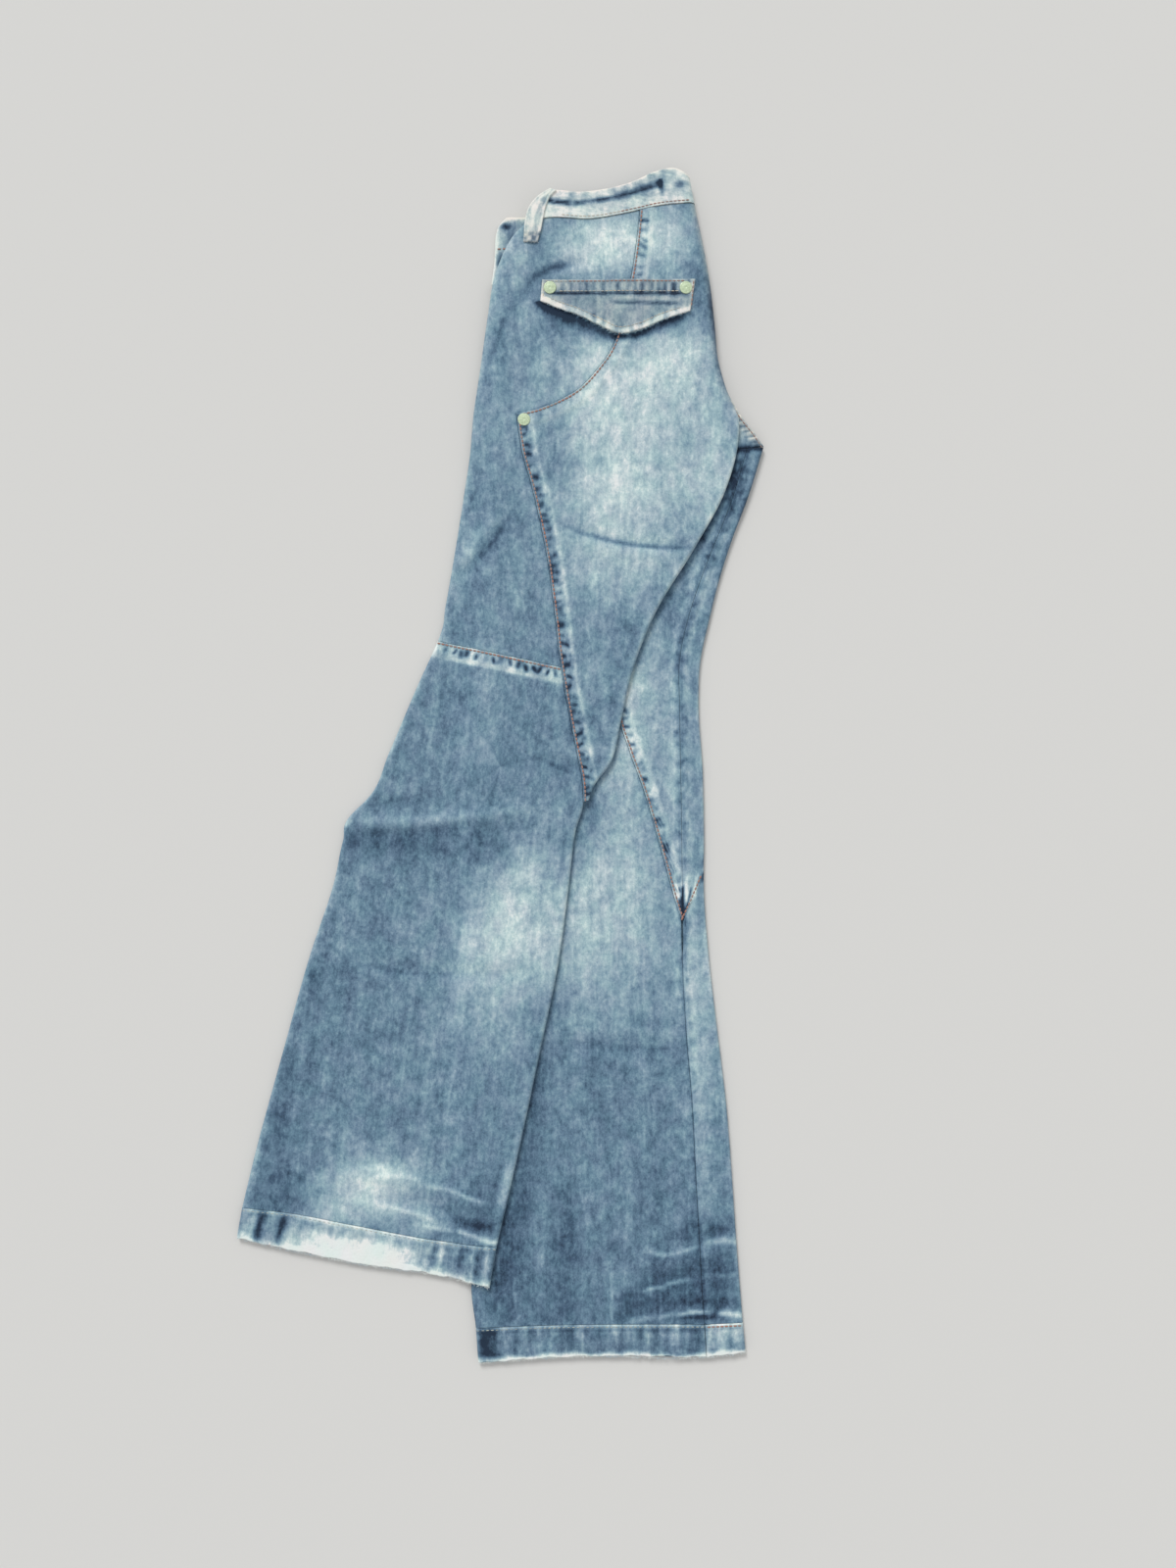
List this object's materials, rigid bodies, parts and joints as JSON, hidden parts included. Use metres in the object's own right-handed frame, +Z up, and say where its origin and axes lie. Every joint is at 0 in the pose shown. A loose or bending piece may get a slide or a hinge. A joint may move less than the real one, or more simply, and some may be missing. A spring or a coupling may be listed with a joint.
{
  "type": "bootcut jeans, folded in half",
  "caption": "Faded blue bootcut jeans folded in half lengthwise and lying flat, with a pointed back pocket flap, a side belt loop and flared legs that cross.",
  "frame": {"origin": "on the floor under the middle of the folded garment's bounding box", "axes": "+Y along the garment from the hems to the waist, +X from the side fold to the seat fold, +Z up from the floor"},
  "size_m": [0.47, 1.0613, 0.0185],
  "materials": {
    "denim": "stone-washed cotton twill, faded light at the seat, thigh and knee",
    "rivet_metal": "pale, dulled"
  },
  "bodies": {
    "root": {"waistband_back": "denim", "waistband_front": "denim", "belt_loop_side": "denim", "left_side_panel": "denim", "left_seat_panel": "denim", "left_lower_panel": "denim", "left_hem": "denim", "pocket_flap": "denim", "crotch_seam": "denim", "right_thigh_wedge": "denim", "right_lower_front": "denim", "right_back_upper": "denim", "right_back_lower": "denim", "right_hem_front": "denim", "right_hem_back": "denim", "folded_layers": "denim", "rivet_flap_side": "rivet_metal", "rivet_flap_centre": "rivet_metal", "rivet_seam": "rivet_metal"}
  },
  "joints": []
}
